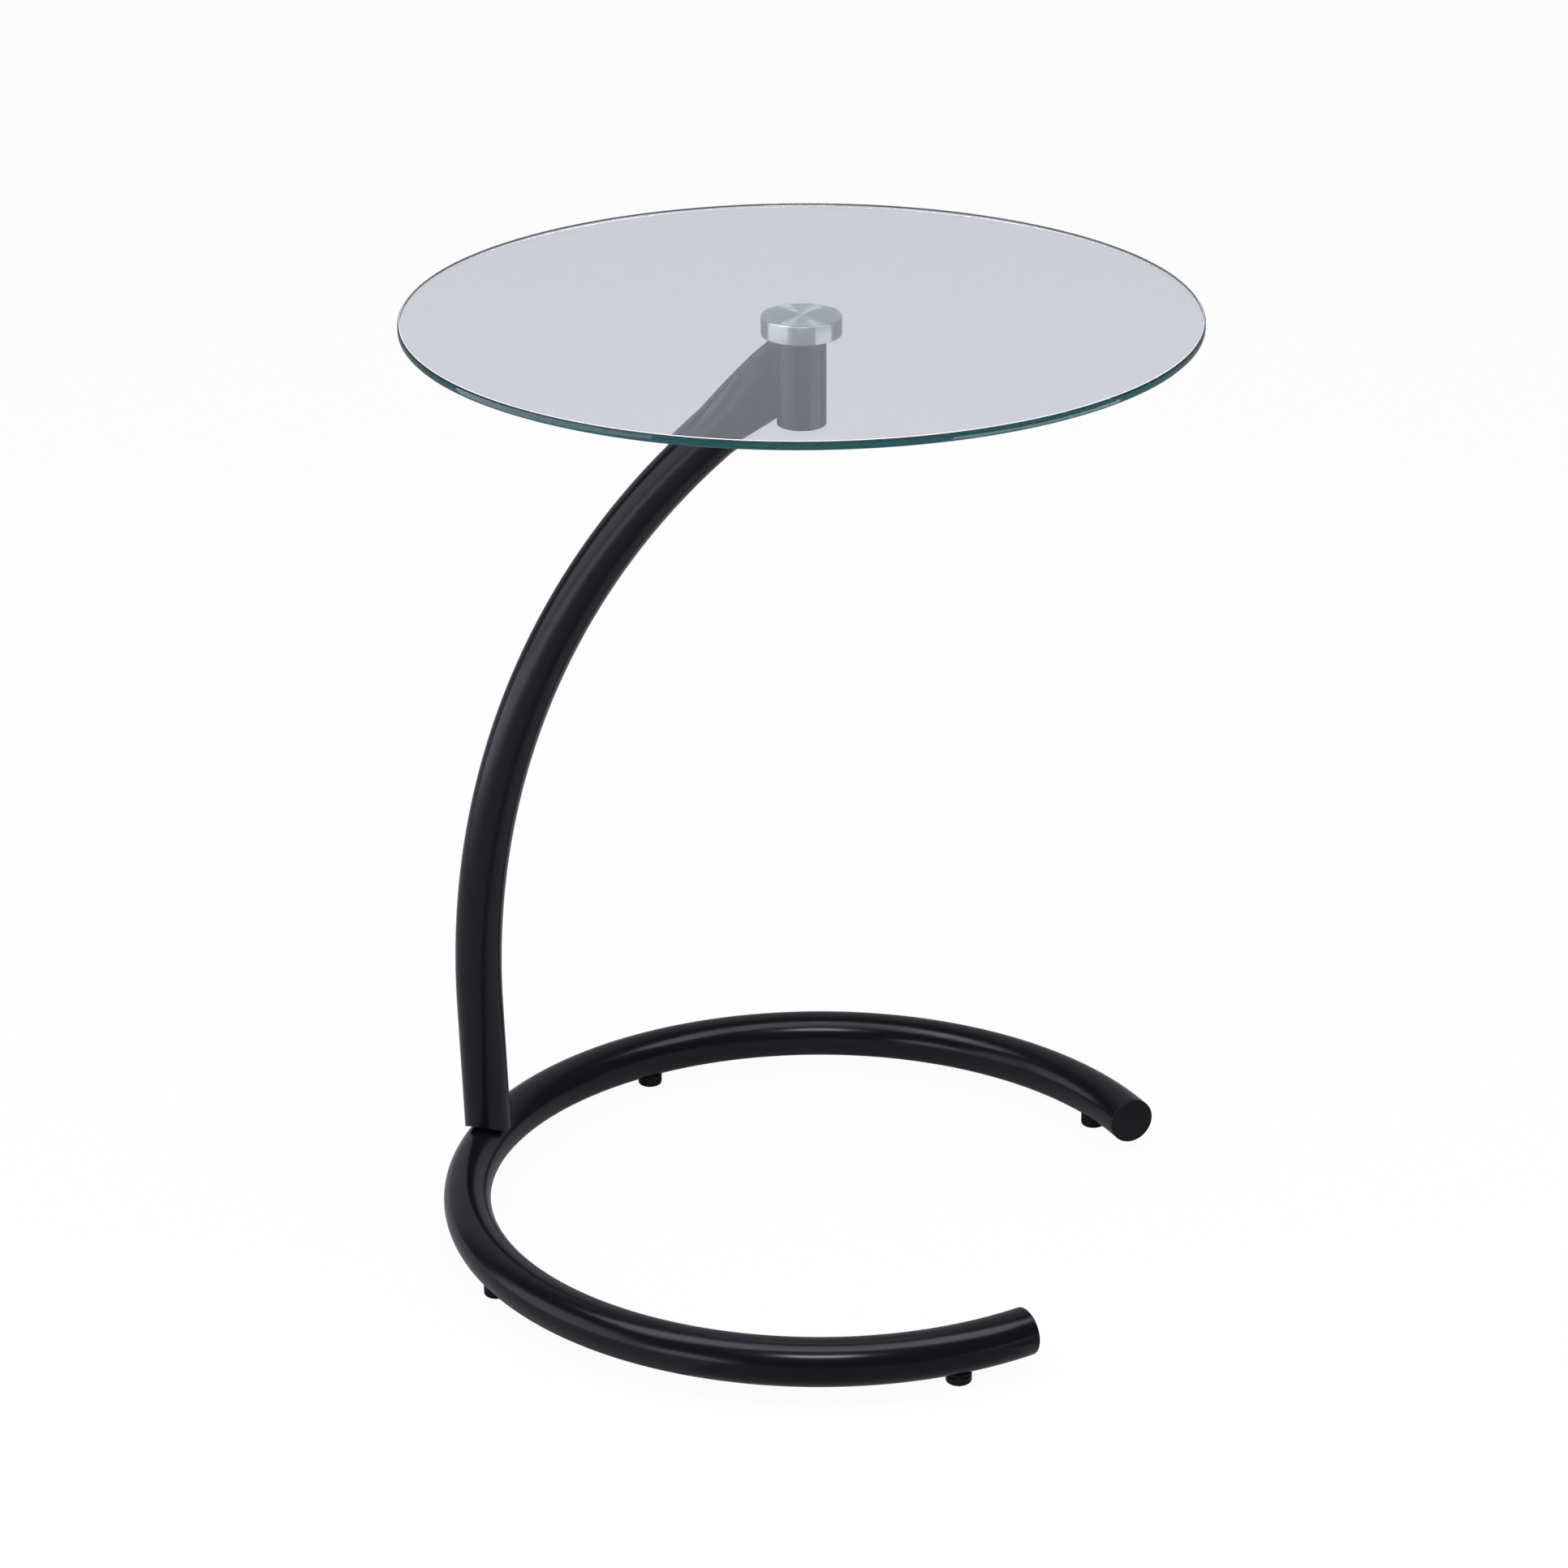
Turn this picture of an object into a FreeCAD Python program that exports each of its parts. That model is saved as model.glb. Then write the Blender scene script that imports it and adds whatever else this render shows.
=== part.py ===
import FreeCAD, Part
import math
import os
from FreeCAD import Placement, Rotation, Vector

# A C-shaped side table: a round glass top on a short post, a bent tube upright behind it,
# and an open ring of the same tube as its base, on four levelling feet.
# Frame: origin on the floor under the centre of the glass, +Z up. The upright stands at -X
# and the C opens to +X. Millimetres and degrees throughout.

# ---------------------------------------------------------------------------- driving sizes
OVERALL_HEIGHT = 643.5        # floor to the top of the glass

# glass top and the disc bonded under it
GLASS_DIAMETER = 510.0
GLASS_THICKNESS = 6.0
GLASS_ARRIS = 1.2             # ground-off corner, top and bottom
FILM_THICKNESS = 0.3          # clear adhesive
FILM_SETBACK = 0.6            # from the disc's edge
DISC_DIAMETER = 51.5
DISC_HEIGHT = 12.5
DISC_CHAMFER = 0.5
DISC_THREAD_DEPTH = 10.0

# tube stock of the post, the upright and the ring
TUBE_DIAMETER = 31.8
TUBE_WALL = 1.5

# post
POST_LENGTH = 58.2
PLATE_THICKNESS = 4.0         # welded plate in the post's top end
PLATE_CLEARANCE = 0.1

# upright
LEAN = 1.85                   # lower straight leans outwards from the vertical
LOWER_STRAIGHT = 90.0         # from the crown of the ring's tube to the start of the bend
UPPER_STRAIGHT = 35.0         # from the end of the bend to the post
PRESSED_LENGTH = 56.0         # run over which the tube is pressed flat towards the post
PRESSED_THICKNESS = 12.8      # across the flats at the post
PRESS_POWER = 1.2             # how gently the pressing starts
ROUND_CORNER_ANGLE = 45.0     # the section's side arcs start here while the tube is round
FLAT_CORNER_ANGLE = 4.0       # and here where it is flat
PRESS_STATIONS = 6
WELD_GAP = 0.2                # coped end to post wall
WELD_RADIUS = 2.4             # round face of the bead in the corner beside the coped end
WELD_SINK = 1.0               # its axis lies this far behind the corner
WELD_LENGTH = 36.0            # how far the bead runs down from the post's top
TOP_EDGE_CLEARANCE = 0.3      # coped end to the underside of the disc

# saddle joint between the upright and the ring
SADDLE_RADIUS = 22.0          # hollow cut across the upright's lower end
SADDLE_GAP = 3.0              # from the ring's crown to the middle of that cut
INSERT_LENGTH = 14.0
INSERT_SETBACK = 1.2          # from the saddle's crown up to the insert
INSERT_CLEARANCE = 0.1
NOSE_DIAMETER = 22.0          # stands on the ring's crown
SEAT_CLEARANCE = 0.1          # between curved seats

# ring
RING_RADIUS = 240.0           # to the centre of the tube
RING_FORWARD = 11.0           # the ring's centre lies this far in front of the post
RING_END_ANGLE = 40.5         # each end, measured from +X
ACCESS_HOLE_DIAMETER = 17.0   # under the upright, for its bolt and washers

# plastic tube plugs
PLUG_FLANGE = 1.2
PLUG_ROUNDING = 0.5
PLUG_DEPTH = 12.0
PLUG_WALL = 1.8
PLUG_FLOOR = 0.9              # closes the hollow body behind the flange
PLUG_MOUTH_CLEARANCE = 0.15   # at the flange
PLUG_TAPER = 0.45             # narrower at the far end, which clears the bend of the ring
PLUG_FIN_COUNT = 3
PLUG_FIN_WIDTH = 1.0
PLUG_FIN_HEIGHT = 0.35

# bolts, M8
BOLT_DIAMETER = 8.0
BOLT_HEAD_DIAMETER = 13.0
BOLT_HEAD_HEIGHT = 8.0
BOLT_HEAD_CHAMFER = 0.6
SOCKET_ACROSS_FLATS = 6.0
SOCKET_DEPTH = 4.0
TOP_BOLT_LENGTH = 16.0
BASE_BOLT_LENGTH = 25.0
THREAD_CLEARANCE = 0.05
BOLT_HOLE_DIAMETER = 9.0
WASHER_DIAMETER = 16.0
WASHER_THICKNESS = 1.6
SPRING_WASHER_DIAMETER = 14.1
SPRING_WASHER_THICKNESS = 2.0
SPRING_WASHER_GAP = 1.5
SADDLE_WASHER_THICKNESS = 3.4

# levelling feet
REAR_FOOT_ANGLE = 137.0       # each foot's place on the ring, from +X
FRONT_FOOT_ANGLE = 52.0
PAD_DIAMETER = 17.0
PAD_HEIGHT = 5.6
PAD_KEY_HOLE_DIAMETER = 6.0   # lets a hexagon key through to the stud
PAD_ROUNDING = 1.8
RIM_CHAMFER = 0.4             # on the two rims that face each other across the gap
PAD_GAP = 0.3                 # pad to insert with the foot screwed right in
FLANGE_CREST = 1.7            # insert's flange under the lowest line of the tube
FLANGE_RISE = 1.5             # its rim stands this much higher beside the tube
FLANGE_CHAMFER = 1.0
FOOT_INSERT_DIAMETER = 11.0
FOOT_INSERT_DEPTH = 12.0      # above the lowest line of the tube
FOOT_INSERT_CLEARANCE = 0.1
STUD_DIAMETER = 8.0
STUD_LENGTH = 23.0
STUD_HEAD_DIAMETER = 12.0
STUD_HEAD_THICKNESS = 1.8
STUD_HEAD_FLOOR = 1.6         # plastic left under the stud's head
STUD_SOCKET_ACROSS_FLATS = 4.0
STUD_SOCKET_DEPTH = 3.5
RUN_CLEARANCE = 0.05          # stud to insert and stud to pad
STUD_TIP_CHAMFER = 0.8

# ------------------------------------------------------------------------- derived places
TUBE_R = TUBE_DIAMETER / 2
BORE_R = TUBE_R - TUBE_WALL
GLASS_Z = OVERALL_HEIGHT - GLASS_THICKNESS
FILM_Z = GLASS_Z - FILM_THICKNESS
DISC_Z = FILM_Z - DISC_HEIGHT
POST_Z = DISC_Z - POST_LENGTH
RING_Z = PAD_HEIGHT + PAD_GAP + FLANGE_CREST + TUBE_R
RING_CENTRE = Vector(RING_FORWARD, 0, RING_Z)
RING_CROWN = Vector(RING_FORWARD - RING_RADIUS, 0, RING_Z + TUBE_R)
THREAD_HOLE_R = BOLT_DIAMETER / 2 + THREAD_CLEARANCE
UP = Vector(0, 0, 1)
CROSS = Vector(0, 1, 0)


# -------------------------------------------------------------------------- small helpers
def cylinder(radius, low, high):
    """Upright cylinder between two heights, on the local Z axis."""
    return Part.makeCylinder(radius, high - low, Vector(0, 0, low), UP)


def pipe(outer, inner, low, high):
    """Upright cylinder with a round bore."""
    return cylinder(outer, low, high).cut(cylinder(inner, low, high))


def turned(points, arcs=None):
    """Solid turned about Z from (radius, height) corners.

    arcs names the corners where a line gives way to an arc: {start index: middle point}.
    """
    arcs = arcs or {}
    corners = [Vector(r, 0, z) for r, z in points]
    edges = []
    for i, start in enumerate(corners):
        end = corners[(i + 1) % len(corners)]
        if i in arcs:
            r, z = arcs[i]
            edges.append(Part.Arc(start, Vector(r, 0, z), end).toShape())
        else:
            edges.append(Part.LineSegment(start, end).toShape())
    return Part.Face(Part.Wire(edges)).revolve(Vector(), UP, 360)


def round_middle(outer_r, low, radius):
    """Middle point of the quarter-round at the lower rim of a turned part."""
    inset = radius * (1 - math.cos(math.radians(45)))
    return (outer_r - inset, low + inset)


def ring_torus(minor_radius):
    """The whole ring's tube as a solid torus of any section radius."""
    return Part.makeTorus(RING_RADIUS, minor_radius, RING_CENTRE, UP)


def ring_place(angle):
    """Placement at an angle on the ring: local X points outwards, local Y along the tube."""
    return Placement(RING_CENTRE, Rotation(UP, angle)).multiply(
        Placement(Vector(RING_RADIUS, 0, 0), Rotation()))


def placed(shape, placement):
    """Copy of a shape moved by a placement."""
    return shape.transformed(placement.toMatrix(), True)


def raised(shape, height):
    """Copy of a shape moved straight up."""
    return placed(shape, Placement(UP * height, Rotation()))


def hexagon_socket(across_flats, low, depth):
    """Six-sided recess that opens downwards at a height."""
    corner_r = across_flats / math.sqrt(3)
    corners = [Vector(corner_r * math.cos(math.radians(60 * i)),
                      corner_r * math.sin(math.radians(60 * i)), low) for i in range(7)]
    return Part.Face(Part.makePolygon(corners)).extrude(UP * depth)


def save(shape, node):
    """Write one sub-part, after a check that it is sound."""
    if not shape.isValid() or not shape.Solids:
        raise ValueError(node + " is not a sound solid")
    solid = shape.Solids[0] if len(shape.Solids) == 1 else Part.makeCompound(shape.Solids)
    solid.exportStep("parts/" + node + ".step")
    print("%-22s solids %d  volume %10.1f" % (node, len(shape.Solids), shape.Volume))


# ------------------------------------------------------------------ fasteners, along local Z
def socket_bolt(length):
    """Socket-head bolt: underside of the head at 0, shank upwards."""
    shank = cylinder(BOLT_DIAMETER / 2, 0, length)
    r = BOLT_HEAD_DIAMETER / 2
    c = BOLT_HEAD_CHAMFER
    head = turned([(0, -BOLT_HEAD_HEIGHT), (r - c, -BOLT_HEAD_HEIGHT),
                   (r, c - BOLT_HEAD_HEIGHT), (r, 0), (0, 0)])
    bolt = head.fuse(shank).removeSplitter()
    return bolt.cut(hexagon_socket(SOCKET_ACROSS_FLATS, -BOLT_HEAD_HEIGHT, SOCKET_DEPTH))


def flat_washer(low):
    """Round washer standing on a height."""
    return pipe(WASHER_DIAMETER / 2, BOLT_HOLE_DIAMETER / 2, low, low + WASHER_THICKNESS)


def spring_washer(low):
    """Split washer standing on a height."""
    high = low + SPRING_WASHER_THICKNESS
    washer = pipe(SPRING_WASHER_DIAMETER / 2, BOLT_DIAMETER / 2 + SEAT_CLEARANCE, low, high)
    slit = Part.makeBox(SPRING_WASHER_DIAMETER, SPRING_WASHER_GAP, SPRING_WASHER_THICKNESS,
                        Vector(0, -SPRING_WASHER_GAP / 2, low))
    return washer.cut(slit)


def tube_plug():
    """Plug for an open tube end: flange below 0, hollow finned body above it."""
    c = PLUG_ROUNDING
    flange = turned([(0, -PLUG_FLANGE), (TUBE_R - c, -PLUG_FLANGE), (TUBE_R, c - PLUG_FLANGE),
                     (TUBE_R, 0), (0, 0)],
                    {1: round_middle(TUBE_R, -PLUG_FLANGE, c)})
    mouth_r = BORE_R - PLUG_MOUTH_CLEARANCE - PLUG_FIN_HEIGHT
    far_r = mouth_r - PLUG_TAPER
    core = turned([(0, 0), (mouth_r, 0), (far_r, PLUG_DEPTH), (far_r - PLUG_WALL, PLUG_DEPTH),
                   (mouth_r - PLUG_WALL, PLUG_FLOOR), (0, PLUG_FLOOR)])
    plug = flange.fuse(core)
    pitch = PLUG_DEPTH / (PLUG_FIN_COUNT + 1)
    for i in range(PLUG_FIN_COUNT):
        low = pitch * (i + 1) - PLUG_FIN_WIDTH
        root_r = mouth_r - PLUG_TAPER * low / PLUG_DEPTH
        tip_r = root_r + PLUG_FIN_HEIGHT
        plug = plug.fuse(turned([(root_r - PLUG_WALL / 2, low), (tip_r, low),
                                 (root_r - PLUG_TAPER * PLUG_FIN_WIDTH / PLUG_DEPTH,
                                  low + PLUG_FIN_WIDTH),
                                 (root_r - PLUG_WALL / 2, low + PLUG_FIN_WIDTH)]))
    return plug.removeSplitter()


# ----------------------------------------------------------------------------- top and post
def glass_top():
    """Round plate with a small arris on both rims."""
    r = GLASS_DIAMETER / 2
    a = GLASS_ARRIS
    return turned([(0, GLASS_Z), (r - a, GLASS_Z), (r, GLASS_Z + a),
                   (r, OVERALL_HEIGHT - a), (r - a, OVERALL_HEIGHT), (0, OVERALL_HEIGHT)])


def bond_film():
    """Clear adhesive between glass and disc."""
    return cylinder(DISC_DIAMETER / 2 - FILM_SETBACK, FILM_Z, GLASS_Z)


def mount_disc():
    """Turned disc with a blind threaded hole from below."""
    r = DISC_DIAMETER / 2
    c = DISC_CHAMFER
    body = turned([(0, DISC_Z), (r - c, DISC_Z), (r, DISC_Z + c), (r, FILM_Z - c),
                   (r - c, FILM_Z), (0, FILM_Z)])
    return body.cut(cylinder(THREAD_HOLE_R, DISC_Z, DISC_Z + DISC_THREAD_DEPTH))


def post_tube():
    """Short upright tube under the disc."""
    return pipe(TUBE_R, BORE_R, POST_Z, DISC_Z)


def post_top_plate():
    """Plate that closes the post's top end and takes the bolt."""
    return pipe(BORE_R - PLATE_CLEARANCE, BOLT_HOLE_DIAMETER / 2, DISC_Z - PLATE_THICKNESS, DISC_Z)


def top_fasteners():
    """Washers and bolt that pull the disc down on the post, from inside the post."""
    flat_z = DISC_Z - PLATE_THICKNESS - WASHER_THICKNESS
    spring_z = flat_z - SPRING_WASHER_THICKNESS
    return {"top_flat_washer": flat_washer(flat_z),
            "top_spring_washer": spring_washer(spring_z),
            "top_bolt": raised(socket_bolt(TOP_BOLT_LENGTH), spring_z)}


# ---------------------------------------------------------------------------------- upright
class UprightPath:
    """Centre line of the upright in the XZ plane: straight, one bend, straight to the post.

    The bend's radius and angle follow from the two straights and the two ends.
    """

    def __init__(self):
        self.start = RING_CROWN
        self.lean = math.radians(-LEAN)
        self.target = Vector(-TUBE_R, 0, (DISC_Z + POST_Z - PLUG_FLANGE) / 2)
        self.bend_start = self.start + self.along(self.lean) * LOWER_STRAIGHT
        reach = self.target - self.bend_start
        forward = reach.dot(self.along(self.lean))
        sideways = reach.dot(self.across(self.lean))
        t = sideways / (forward + UPPER_STRAIGHT)
        self.angle = 2 * math.atan(t)
        self.radius = (forward * (1 + t * t) - UPPER_STRAIGHT * (1 - t * t)) / (2 * t)
        self.bend_centre = self.bend_start + self.across(self.lean) * self.radius
        self.bend_length = self.radius * self.angle
        self.length = LOWER_STRAIGHT + self.bend_length + UPPER_STRAIGHT

    @staticmethod
    def along(heading):
        """Unit vector of a heading, counted from +Z towards +X."""
        return Vector(math.sin(heading), 0, math.cos(heading))

    @staticmethod
    def across(heading):
        """Unit vector square to a heading, on the inner side of the C."""
        return Vector(math.cos(heading), 0, -math.sin(heading))

    def at(self, distance):
        """Point and heading at a distance from the start."""
        if distance <= LOWER_STRAIGHT:
            return self.start + self.along(self.lean) * distance, self.lean
        in_bend = min(distance - LOWER_STRAIGHT, self.bend_length)
        heading = self.lean + in_bend / self.radius
        point = self.bend_centre - self.across(heading) * self.radius
        past = distance - LOWER_STRAIGHT - in_bend
        return point + self.along(heading) * past, heading


def pressed_section(path, distance, pressed, offset):
    """Closed outline of the tube where it is partly pressed flat.

    Four tangent arcs with the round tube's girth. pressed runs from 0, round, to 1, flat;
    offset moves the outline inwards, for the bore.
    """
    point, heading = path.at(distance)
    corner = math.radians(ROUND_CORNER_ANGLE
                          + (FLAT_CORNER_ANGLE - ROUND_CORNER_ANGLE) * pressed)
    half_width = TUBE_R + (PRESSED_THICKNESS / 2 - TUBE_R) * pressed
    spread = math.cos(corner) + math.sin(corner) - 1
    end_share = math.pi / 2 - corner
    shift = (corner * math.cos(corner) - end_share * math.sin(corner)) / spread
    half_height = ((math.pi / 2 * TUBE_R - half_width * (corner - shift))
                   / (end_share + shift))
    centre_gap = (half_height - half_width) / spread
    end_r = half_height - centre_gap * math.sin(corner) - offset
    side_r = half_width + centre_gap * math.cos(corner) - offset
    side_centre = centre_gap * math.cos(corner)
    end_centre = centre_gap * math.sin(corner)
    outward = path.across(heading) * -1

    def spot(wide, high):
        return point + CROSS * wide + outward * high

    def joint(wide_sign, high_sign):
        return spot(wide_sign * (side_r * math.cos(corner) - side_centre),
                    high_sign * side_r * math.sin(corner))

    top = spot(0, end_centre + end_r)
    right = spot(side_r - side_centre, 0)
    bottom = spot(0, -end_centre - end_r)
    left = spot(side_centre - side_r, 0)
    arcs = [Part.Arc(joint(-1, 1), top, joint(1, 1)),
            Part.Arc(joint(1, 1), right, joint(1, -1)),
            Part.Arc(joint(1, -1), bottom, joint(-1, -1)),
            Part.Arc(joint(-1, -1), left, joint(-1, 1))]
    return Part.Wire([arc.toShape() for arc in arcs])


def upright_body(path, offset):
    """Solid of the upright's outer form, or of its bore when offset is the wall.

    It runs on through the post, for the coping to cut back.
    """
    radius = TUBE_R - offset
    foot = path.start - path.along(path.lean) * (TUBE_R + offset)
    straight = Part.makeCylinder(radius, LOWER_STRAIGHT + TUBE_R + offset, foot,
                                 path.along(path.lean))
    round_length = path.length - PRESSED_LENGTH
    bent = min(round_length - LOWER_STRAIGHT, path.bend_length)
    mouth = Part.Face(Part.Wire(Part.makeCircle(radius, path.bend_start,
                                                path.along(path.lean))))
    body = straight.fuse(mouth.revolve(path.bend_centre, CROSS, math.degrees(bent / path.radius)))
    rest = round_length - LOWER_STRAIGHT - bent
    if rest > 0:
        point, heading = path.at(LOWER_STRAIGHT + bent)
        body = body.fuse(Part.makeCylinder(radius, rest, point, path.along(heading)))
    sections = []
    for i in range(PRESS_STATIONS + 1):
        u = i / PRESS_STATIONS
        sections.append(pressed_section(path, round_length + u * PRESSED_LENGTH,
                                        u ** PRESS_POWER, offset))
    body = body.fuse(Part.makeLoft(sections, True, False))
    flat_end = Part.Face(pressed_section(path, path.length, 1, offset))
    heading = path.at(path.length)[1]
    return body.fuse(flat_end.extrude(path.along(heading) * 2 * TUBE_DIAMETER))


def coping_tool():
    """Everything that the post's end of the upright is cut back from."""
    reach = 2 * TUBE_DIAMETER
    low = POST_Z - TUBE_DIAMETER
    high = DISC_Z + TUBE_DIAMETER
    post = cylinder(TUBE_R + WELD_GAP, low, high)
    beyond = Part.makeBox(reach, 2 * reach, high - low, Vector(0, -reach, low))
    above = Part.makeBox(2 * reach, 2 * reach, TUBE_DIAMETER,
                         Vector(-2 * reach, -reach, DISC_Z - TOP_EDGE_CLEARANCE))
    return post.fuse([beyond, above])


def upright_tube(path):
    """Bent tube: saddle cut at its foot, pressed flat and coped on the post at its top."""
    tube = upright_body(path, 0).cut(upright_body(path, TUBE_WALL))
    half = 2 * TUBE_DIAMETER
    saddle_centre = RING_CROWN + Vector(0, -half, SADDLE_GAP - SADDLE_RADIUS)
    saddle = Part.makeCylinder(SADDLE_RADIUS, 2 * half, saddle_centre, CROSS)
    below = Part.makeBox(half, 2 * half, half, saddle_centre - Vector(half / 2, 0, half))
    tube = tube.cut(saddle.fuse(below)).cut(coping_tool())
    return max(tube.removeSplitter().Solids, key=lambda solid: solid.Volume)


def post_welds(path):
    """Weld beads in the two corners between the coped end and the post.

    A bead is a rod along the corner with a rounded lower end, less the forms that it joins.
    """
    half = PRESSED_THICKNESS / 2
    corner = Vector(-math.sqrt(TUBE_R ** 2 - half ** 2), half, 0)
    along_tube = Vector(-1, 0, 0)
    along_post = Vector(half, -corner.x, 0) / TUBE_R
    outward = (along_tube + along_post).normalize()
    low = DISC_Z - WELD_LENGTH + WELD_RADIUS
    rod = cylinder(WELD_RADIUS, low, DISC_Z - TOP_EDGE_CLEARANCE)
    rod = rod.fuse(Part.makeSphere(WELD_RADIUS, UP * low))
    rod = placed(rod, Placement(corner - outward * WELD_SINK, Rotation()))
    post = cylinder(TUBE_R, POST_Z - TUBE_DIAMETER, DISC_Z)
    bead = rod.cut(upright_body(path, 0)).cut(post)
    left = max(bead.Solids, key=lambda solid: solid.Volume)
    return {"post_weld_left": left, "post_weld_right": left.mirror(Vector(), CROSS)}


# ----------------------------------------------------------------------------- saddle joint
def upright_frame():
    """Placement of the leaning joint axis, with its local origin on the ring's crown."""
    return Placement(RING_CROWN, Rotation(CROSS, -LEAN))


def upright_insert():
    """Plug welded in the upright's foot, with a nose that stands on the ring's crown."""
    body_low = SADDLE_GAP + INSERT_SETBACK
    body_high = body_low + INSERT_LENGTH
    plug = cylinder(BORE_R - INSERT_CLEARANCE, body_low, body_high)
    plug = plug.fuse(cylinder(NOSE_DIAMETER / 2, -TUBE_R, body_low)).removeSplitter()
    plug = plug.cut(cylinder(THREAD_HOLE_R, -TUBE_R, body_high))
    return placed(plug, upright_frame()).cut(ring_torus(TUBE_R + SEAT_CLEARANCE))


def base_fasteners():
    """Curved washer, split washer and bolt inside the ring, pulling the upright down."""
    saddle_low = -TUBE_WALL - SEAT_CLEARANCE - SADDLE_WASHER_THICKNESS
    block = pipe(WASHER_DIAMETER / 2, BOLT_HOLE_DIAMETER / 2, saddle_low, -TUBE_WALL)
    spring_low = saddle_low - SPRING_WASHER_THICKNESS
    bolt = raised(socket_bolt(BASE_BOLT_LENGTH), spring_low)
    frame = upright_frame()
    return {"saddle_washer": placed(block, frame).common(ring_torus(BORE_R - SEAT_CLEARANCE)),
            "base_spring_washer": placed(spring_washer(spring_low), frame),
            "base_bolt": placed(bolt, frame)}


# ------------------------------------------------------------------------------------- ring
def foot_angles():
    """Places of the feet round the ring, counted anticlockwise from +X."""
    return [FRONT_FOOT_ANGLE, REAR_FOOT_ANGLE, 360 - REAR_FOOT_ANGLE, 360 - FRONT_FOOT_ANGLE]


def base_ring():
    """Open ring of tube with holes for the upright's bolt and for the feet."""
    centre = RING_CENTRE + Vector(RING_RADIUS, 0, 0)
    rims = [Part.Wire(Part.makeCircle(radius, centre, CROSS)) for radius in (TUBE_R, BORE_R)]
    section = Part.Face(rims[0]).cut(Part.Face(rims[1])).Faces[0]
    section.rotate(RING_CENTRE, UP, RING_END_ANGLE)
    ring = section.revolve(RING_CENTRE, UP, 360 - 2 * RING_END_ANGLE)
    joint = cylinder(BOLT_HOLE_DIAMETER / 2, -TUBE_R, TUBE_R).fuse(
        cylinder(ACCESS_HOLE_DIAMETER / 2, -2 * TUBE_DIAMETER, -TUBE_R))
    ring = ring.cut(placed(joint, upright_frame()))
    hole_r = FOOT_INSERT_DIAMETER / 2 + FOOT_INSERT_CLEARANCE
    for angle in foot_angles():
        ring = ring.cut(placed(cylinder(hole_r, -TUBE_DIAMETER, 0), ring_place(angle)))
    return ring


def ring_cap(angle, side):
    """Plug in one end of the ring; side is 1 where the tube leaves towards larger angles."""
    turn = Rotation(Vector(1, 0, 0), -90 * side)
    return placed(tube_plug(), ring_place(angle).multiply(Placement(Vector(), turn)))


# ------------------------------------------------------------------------------------- feet
def foot_insert(angle):
    """Threaded insert in the ring, with a flange hollowed to fit the tube."""
    crest = -TUBE_R
    low = crest - FLANGE_CREST
    rim = crest + FLANGE_RISE
    r = PAD_DIAMETER / 2
    top = crest + FOOT_INSERT_DEPTH
    place = ring_place(angle)
    flange = turned([(0, low), (r - RIM_CHAMFER, low), (r, low + RIM_CHAMFER),
                     (r, rim - FLANGE_CHAMFER), (r - FLANGE_CHAMFER, rim), (0, rim)])
    flange = placed(flange, place).cut(ring_torus(TUBE_R + SEAT_CLEARANCE))
    flange = min(flange.Solids, key=lambda solid: solid.BoundBox.ZMin)
    barrel = placed(cylinder(FOOT_INSERT_DIAMETER / 2, low, top), place)
    thread = placed(cylinder(STUD_DIAMETER / 2 + RUN_CLEARANCE, low, top), place)
    return barrel.fuse(flange).removeSplitter().cut(thread)


def on_floor(shape, angle):
    """Copy of a foot's part moved from the origin to its place under the ring."""
    base = ring_place(angle).Base
    return placed(shape, Placement(Vector(base.x, base.y, 0), Rotation()))


def foot_stud(angle):
    """Threaded stud with a round head held in the pad and a socket for a key in the head."""
    head_r = STUD_HEAD_DIAMETER / 2
    r = STUD_DIAMETER / 2
    head_top = STUD_HEAD_FLOOR + STUD_HEAD_THICKNESS
    top = STUD_HEAD_FLOOR + STUD_LENGTH
    c = STUD_TIP_CHAMFER
    stud = turned([(0, STUD_HEAD_FLOOR), (head_r, STUD_HEAD_FLOOR), (head_r, head_top),
                   (r, head_top), (r, top - c), (r - c, top), (0, top)])
    return on_floor(stud.cut(hexagon_socket(STUD_SOCKET_ACROSS_FLATS, STUD_HEAD_FLOOR,
                                            STUD_SOCKET_DEPTH)), angle)


def foot_pad(angle):
    """Round plastic pad with the stud's head captive inside it."""
    r = PAD_DIAMETER / 2
    key_r = PAD_KEY_HOLE_DIAMETER / 2
    neck_r = STUD_DIAMETER / 2 + RUN_CLEARANCE
    pocket_r = STUD_HEAD_DIAMETER / 2 + RUN_CLEARANCE
    pocket_low = STUD_HEAD_FLOOR - RUN_CLEARANCE
    pocket_high = STUD_HEAD_FLOOR + STUD_HEAD_THICKNESS + RUN_CLEARANCE
    pad = turned([(key_r, 0), (r - PAD_ROUNDING, 0), (r, PAD_ROUNDING),
                  (r, PAD_HEIGHT - RIM_CHAMFER), (r - RIM_CHAMFER, PAD_HEIGHT),
                  (neck_r, PAD_HEIGHT), (neck_r, pocket_high), (pocket_r, pocket_high),
                  (pocket_r, pocket_low), (key_r, pocket_low)],
                 {1: round_middle(r, 0, PAD_ROUNDING)})
    return on_floor(pad, angle)


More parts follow.
